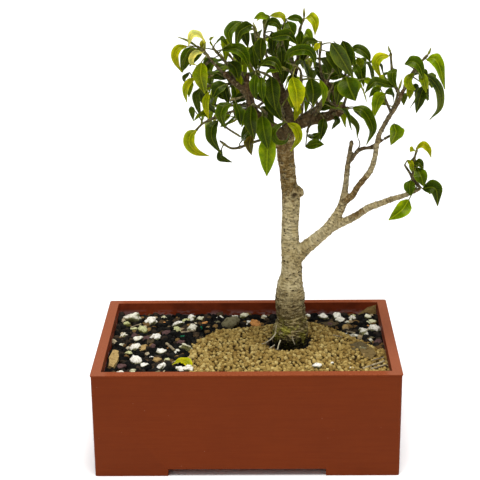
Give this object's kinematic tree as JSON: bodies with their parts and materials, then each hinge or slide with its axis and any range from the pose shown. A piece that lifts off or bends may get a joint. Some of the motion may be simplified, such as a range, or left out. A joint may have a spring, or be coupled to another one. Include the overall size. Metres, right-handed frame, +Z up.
{
  "type": "ficus bonsai",
  "caption": "Small ficus bonsai with an upright trunk, one long side branch and a leafy crown, in a rectangular plastic pot.",
  "frame": {"origin": "on the floor under the middle of the whole tree and pot, at the level of the pot's feet", "axes": "+Z up the tree; +X along the pot's long side, towards the side with the long branch; +Y from the pictured front to the back"},
  "size_m": [0.2316, 0.152, 0.297],
  "materials": {
    "pot_plastic": "red-brown plastic with a faint satin sheen",
    "dark_soil": "dark granular potting mix with pale pumice",
    "tan_gravel": "tan granular baked clay",
    "bark": "grey-tan bark with fine rings",
    "foliage": "waxy green leaves with a soft gloss"
  },
  "bodies": {
    "root": {"gravel_mound": "tan_gravel", "pot": "pot_plastic", "soil": "dark_soil", "spray_back_left": "foliage", "spray_back_left_end": "foliage", "spray_back_left_low": "foliage", "spray_back_right": "foliage", "spray_back_right_end": "foliage", "spray_back_right_low": "foliage", "spray_back_top": "foliage", "spray_back_top_right": "foliage", "spray_centre": "foliage", "spray_centre_front": "foliage", "spray_centre_left": "foliage", "spray_centre_low": "foliage", "spray_heart": "foliage", "spray_left_back": "foliage", "spray_left_edge": "foliage", "spray_left_low": "foliage", "spray_left_middle": "foliage", "spray_left_side": "foliage", "spray_left_tip": "foliage", "spray_left_under": "foliage", "spray_left_upper": "foliage", "spray_lobe_back": "foliage", "spray_lobe_inner": "foliage", "spray_lobe_middle": "foliage", "spray_lobe_right": "foliage", "spray_lobe_top": "foliage", "spray_low_left": "foliage", "spray_low_right": "foliage", "spray_middle": "foliage", "spray_right_back": "foliage", "spray_right_end": "foliage", "spray_right_front": "foliage", "spray_right_inner": "foliage", "spray_right_low": "foliage", "spray_right_middle": "foliage", "spray_right_top": "foliage", "spray_right_under": "foliage", "spray_top_back": "foliage", "spray_top_back_right": "foliage", "spray_top_centre": "foliage", "spray_top_left": "foliage", "spray_top_middle": "foliage", "spray_top_right": "foliage", "spray_trunk_top": "foliage", "trunk_and_limbs": "bark"}
  },
  "joints": []
}
